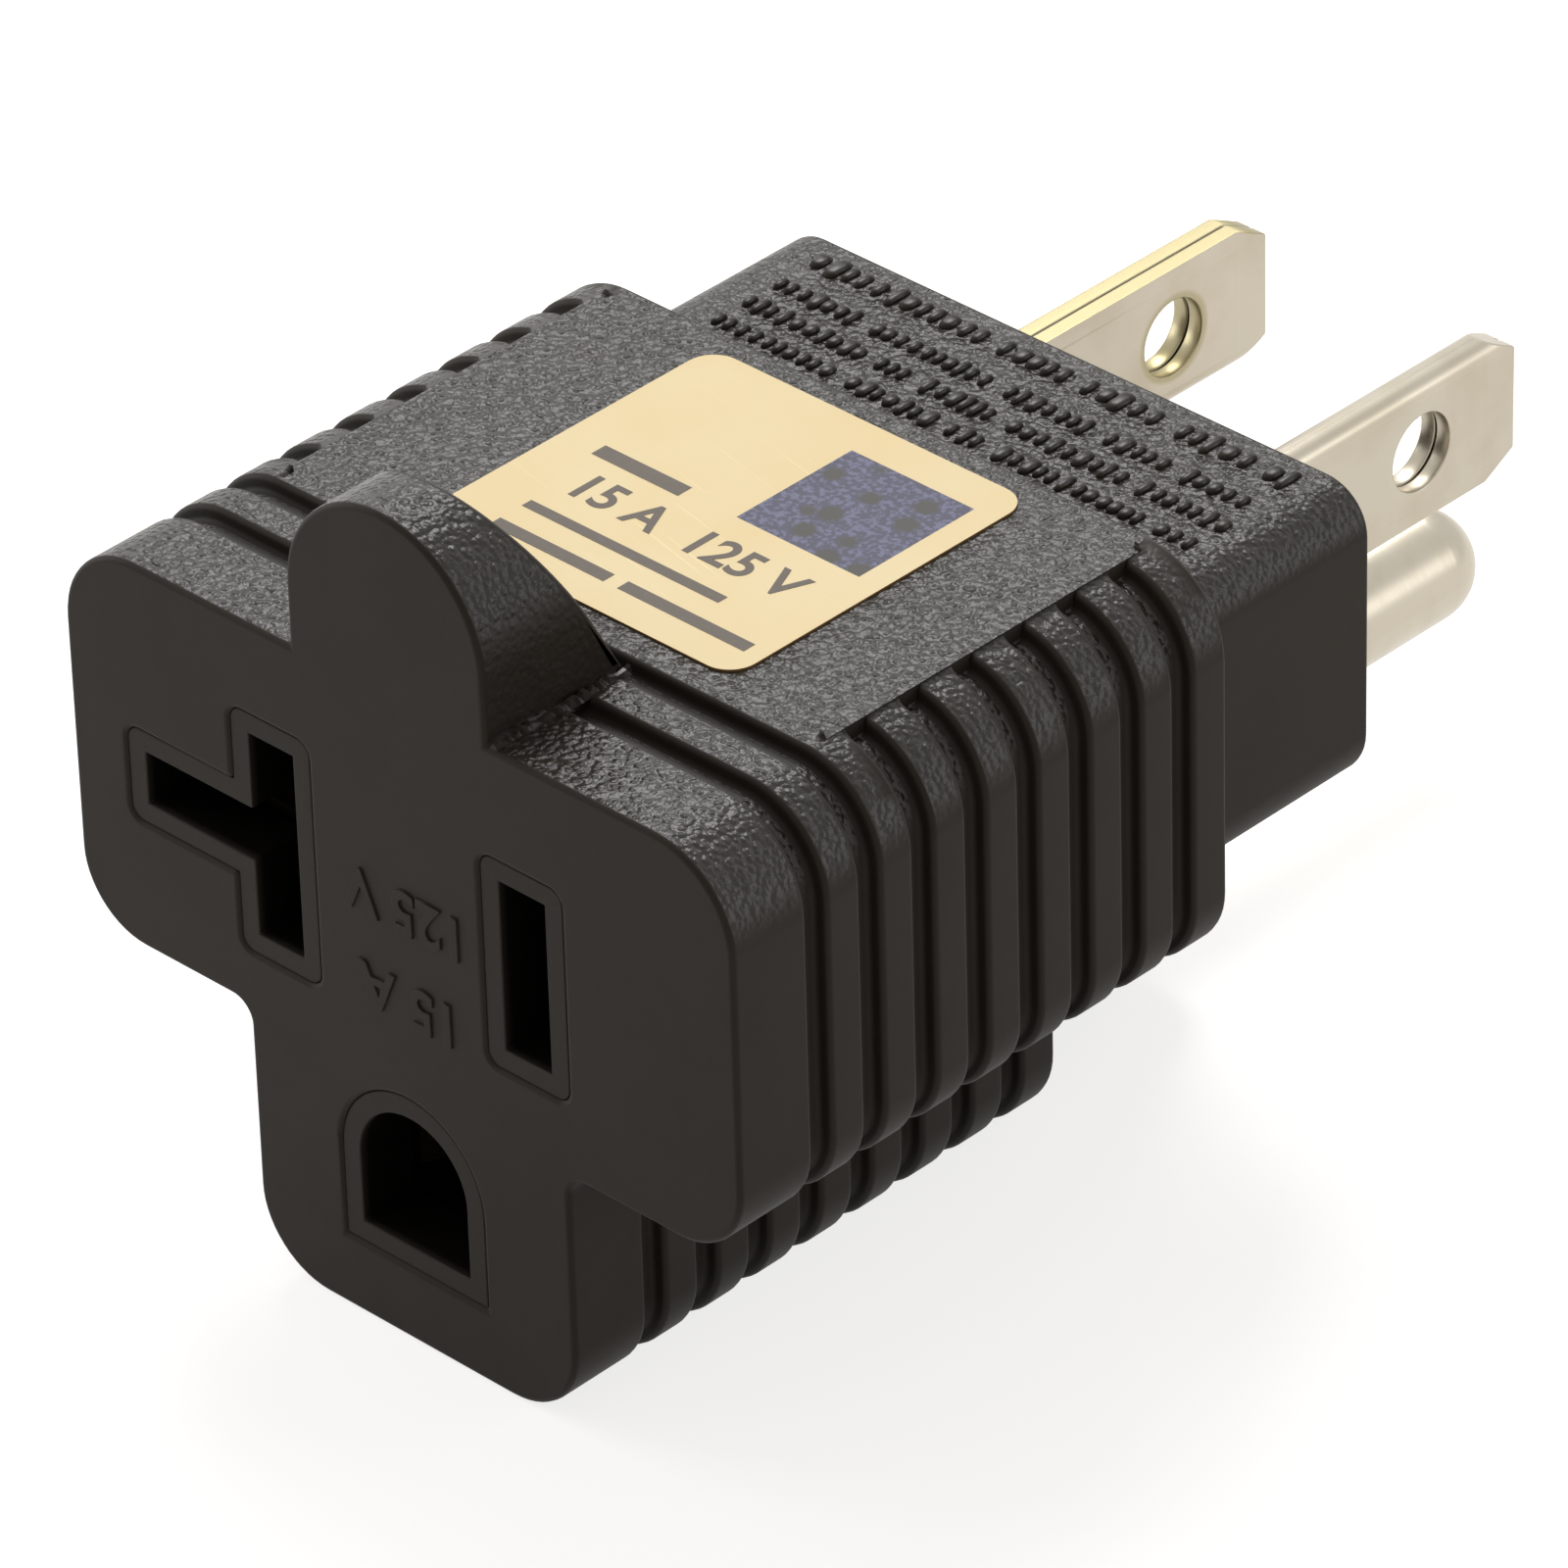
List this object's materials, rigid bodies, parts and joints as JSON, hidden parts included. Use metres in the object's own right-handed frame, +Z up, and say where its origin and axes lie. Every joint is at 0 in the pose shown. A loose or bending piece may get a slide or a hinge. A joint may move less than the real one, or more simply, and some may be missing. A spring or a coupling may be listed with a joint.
{
  "type": "plug adapter",
  "caption": "Moulded plug adapter: ribbed T-shaped body, thumb tab and T-slot socket in front, folded flat blades and a round earth pin behind.",
  "frame": {"origin": "on the flat mating face, midway between the two flat blades", "axes": "+X right when the socket face is looked at, +Y out of the mating face along the blades, +Z up, away from the earth pin"},
  "size_m": [0.0338, 0.0582, 0.0362],
  "materials": {
    "overmould": "black soft vinyl, fine grain",
    "insert": "black moulded plastic",
    "carrier": "black moulded plastic",
    "plated_blade": "satin nickel plate on folded brass",
    "plated_pin": "satin nickel plate on turned brass",
    "spring_brass": "bright strip",
    "label_foil": "pale gold foil"
  },
  "bodies": {
    "root": {"overmould_body": "overmould", "receptacle_insert": "insert", "contact_carrier": "carrier", "hot_blade": "plated_blade", "neutral_blade": "plated_blade", "ground_pin": "plated_pin", "hot_contact": "spring_brass", "neutral_contact": "spring_brass", "ground_contact": "spring_brass", "rating_label": "label_foil"}
  },
  "joints": []
}
